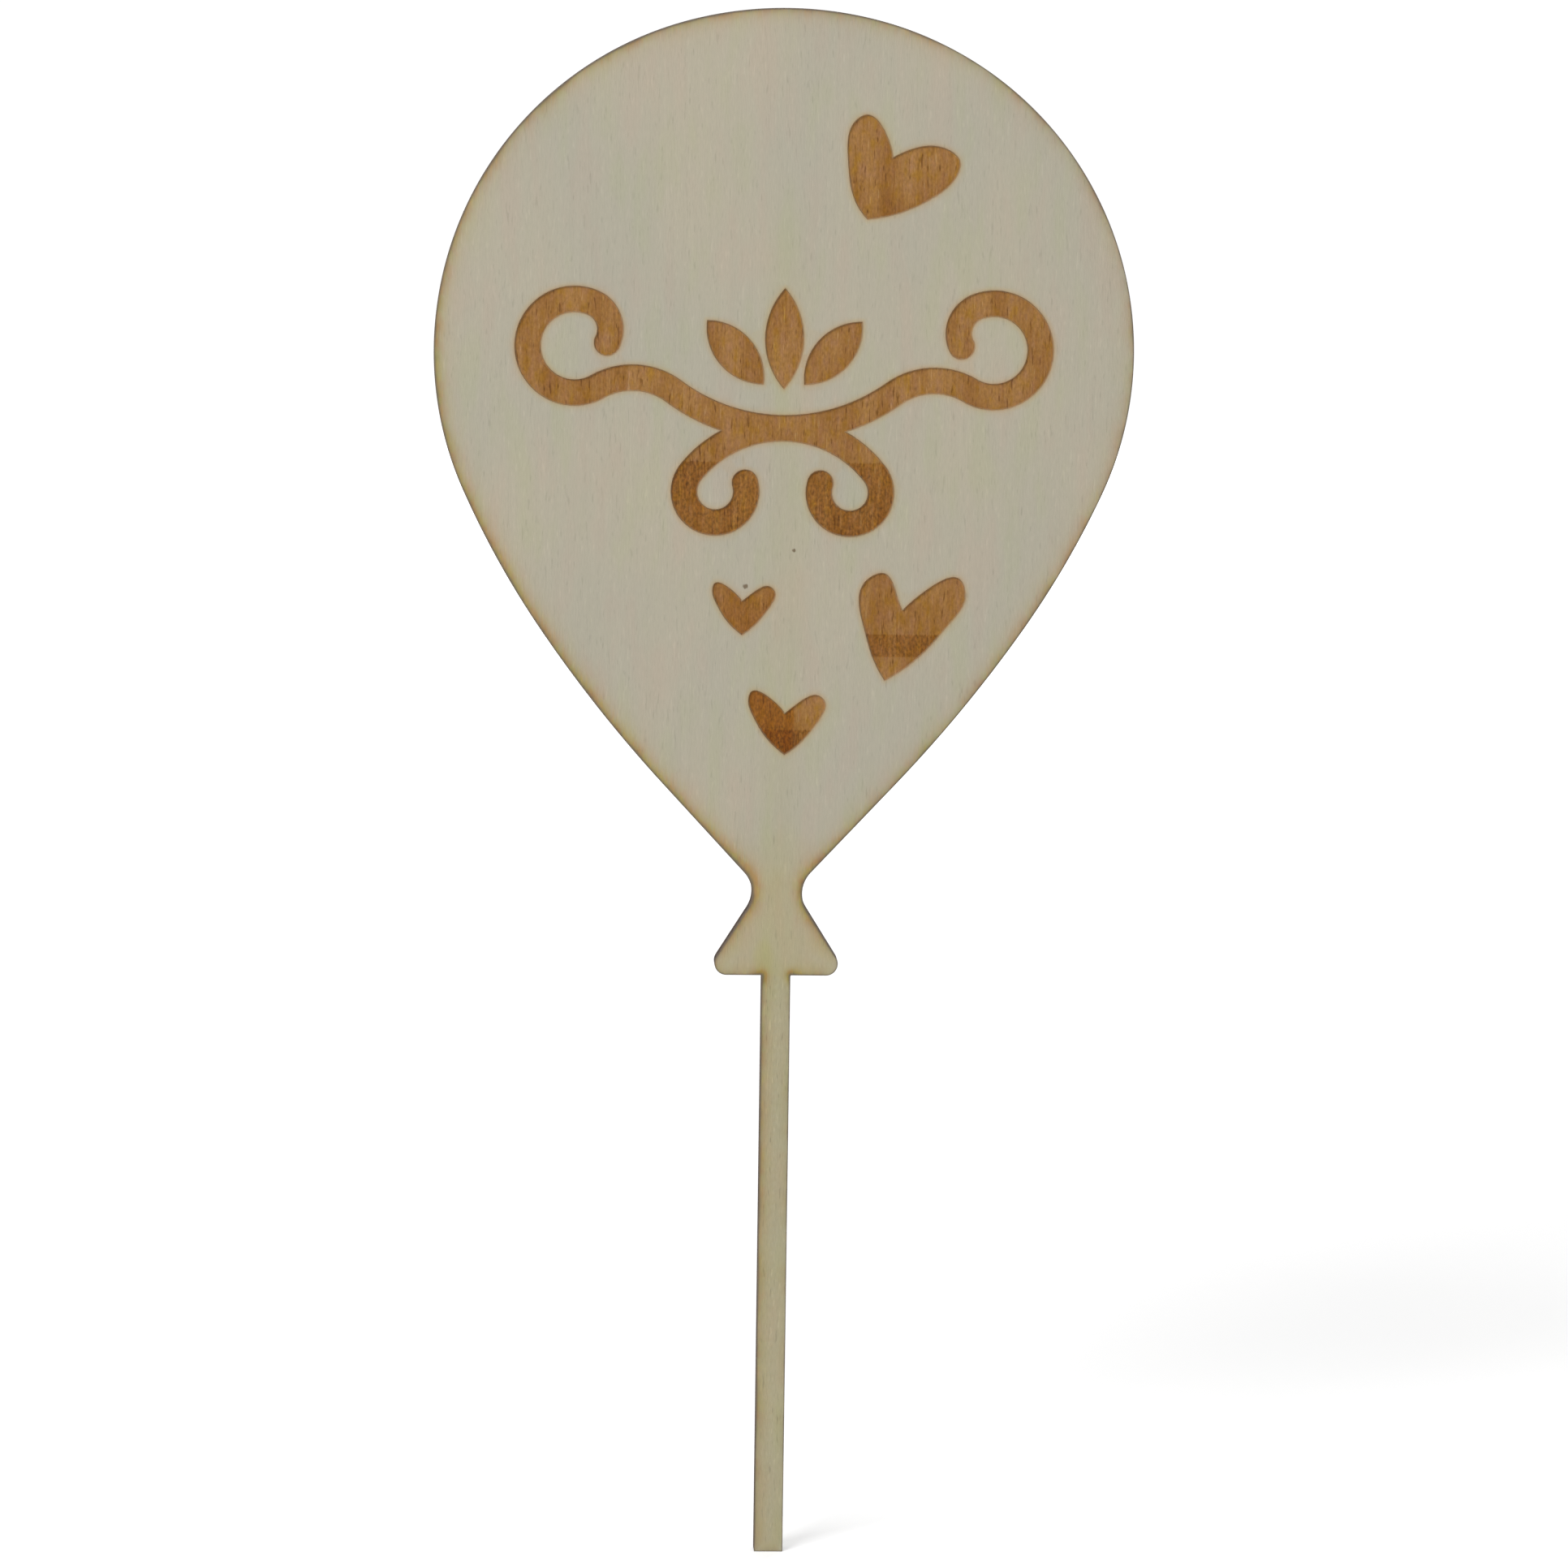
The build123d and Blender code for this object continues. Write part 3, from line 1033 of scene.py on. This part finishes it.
# A piece's material, body, the node that it replaces, and its slot.
def dressPiece(piece, material, node):
    piece.data.materials.append(material)
    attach(piece, "root")
    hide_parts(node)


dressPiece(frontPiece, veneerPaint("engravedVeneer", True), "front_veneer")
dressPiece(backPiece, veneerPaint("plainVeneer", False), "back_veneer")
dressPiece(corePiece, corePaint("crossVeneer", coreWood), "core_veneer")
gluedFilm = gluePaint("gluedFilm", glueFilm)
dressPiece(frontGlue, gluedFilm, "front_glue_line")
dressPiece(backGlue, gluedFilm, "back_glue_line")
print("materials done")

studio = {
    "floorSize": 30.0,
    "floorColour": (0.86, 0.86, 0.86, 1),
    "nearGlow": 0.43,             # what the floor adds for the eye, so that it reads as white
    "farGlow": 0.8,
    "farFrom": (0.3, 1.2),        # metres from the middle
    "skyColour": (1, 1, 1, 1),
    "skyLight": 0.3,
    "lamps": [                    # place in metres, width, watts
        ((-0.75, -1.1, 1.05), 0.7, 16.0),
        ((0.9, -1.2, 0.35), 0.9, 2.0),
        ((0.2, 1.4, 0.9), 1.2, 9.0),
    ],
    "aim": (0, 0, 0.13),
}


# 1 for what the camera sees, itself or mirrored or through something.
def seenShare(paint):
    kinds = ("Is Camera Ray", "Is Glossy Ray", "Is Transmission Ray")
    return clampOne(sum(paint.node("LightPath", {}, {}, kind) for kind in kinds))


# Matte floor that also glows for the camera, more so further away, where the lamps don't reach.
def makeFloor(s):
    half = s["floorSize"] / 2
    corners = [(-half, -half, 0), (half, -half, 0), (half, half, 0), (-half, half, 0)]
    mesh = bpy.data.meshes.new("floor")
    mesh.from_pydata(corners, [], [(0, 1, 2, 3)])
    material, paint = newPaint("paleFloor")
    matte = paint.node("BsdfDiffuse", {}, {"Color": s["floorColour"]})
    near = paint.node("Emission", {}, {"Strength": seenShare(paint) * s["nearGlow"]})
    far = paint.node("Emission", {}, {"Strength": seenShare(paint) * s["farGlow"]})
    place = paint.node("TexCoord", {}, {}, "Object")
    away = paint.node("VectorMath", {"operation": "LENGTH"}, {0: place}, "Value")
    glow = paint.node("MixShader", {}, {0: fade(away, *s["farFrom"]), 1: near, 2: far})
    both = paint.node("AddShader", {}, {0: matte, 1: glow})
    paint.node("OutputMaterial", {}, {"Surface": both})
    mesh.materials.append(material)
    floor = bpy.data.objects.new("floor", mesh)
    bpy.context.scene.collection.objects.link(floor)


# White for the camera, and dimmer as light on the object.
def makeSky(s):
    world = bpy.data.worlds.new("studio")
    world.use_nodes = True
    world.node_tree.nodes.clear()
    paint = Wire(world.node_tree)
    strength = s["skyLight"] + (1 - s["skyLight"]) * seenShare(paint)
    sky = paint.node("Background", {}, {"Color": s["skyColour"], "Strength": strength})
    paint.node("OutputWorld", {}, {"Surface": sky})
    bpy.context.scene.world = world


# Soft square lamps that face the balloon.
def makeLamps(s):
    for place, width, watts in s["lamps"]:
        lamp = bpy.data.lights.new("softbox", "AREA")
        lamp.size = width
        lamp.energy = watts
        holder = bpy.data.objects.new("softbox", lamp)
        holder.location = place
        towards = Vector(s["aim"]) - holder.location
        holder.rotation_euler = towards.to_track_quat("-Z", "Y").to_euler()
        bpy.context.scene.collection.objects.link(holder)


# The photograph's camera: turns in degrees, and focal length in shares of the picture's width.
photoCamera = {
    "place": (-0.0354, -0.9411, 0.2226),
    "yaw": 2.2004,
    "pitch": -7.350,
    "roll": 0.793,
    "focal": 4.6826,
    "sensorWidth": 36.0,
    "sightLimit": 100.0,
}


# Looking level along +Y, then turned by yaw about the upright, by pitch up or down, and by roll about its
# own line of sight.
def makeCamera(c):
    camera = bpy.data.cameras.new("photoCamera")
    camera.sensor_width = c["sensorWidth"]
    camera.lens = c["focal"] * c["sensorWidth"]
    camera.clip_end = c["sightLimit"]
    holder = bpy.data.objects.new("photoCamera", camera)
    turn = Matrix.Rotation(radians(-c["yaw"]), 4, "Z") @ Matrix.Rotation(radians(90 + c["pitch"]), 4, "X")
    holder.matrix_world = Matrix.Translation(c["place"]) @ turn @ Matrix.Rotation(radians(c["roll"]), 4, "Z")
    bpy.context.scene.collection.objects.link(holder)
    bpy.context.scene.camera = holder


makeFloor(studio)
makeSky(studio)
makeLamps(studio)
makeCamera(photoCamera)
bpy.context.scene.view_settings.view_transform = "Standard"
print("studio and camera done")

bpy.context.view_layer.update()
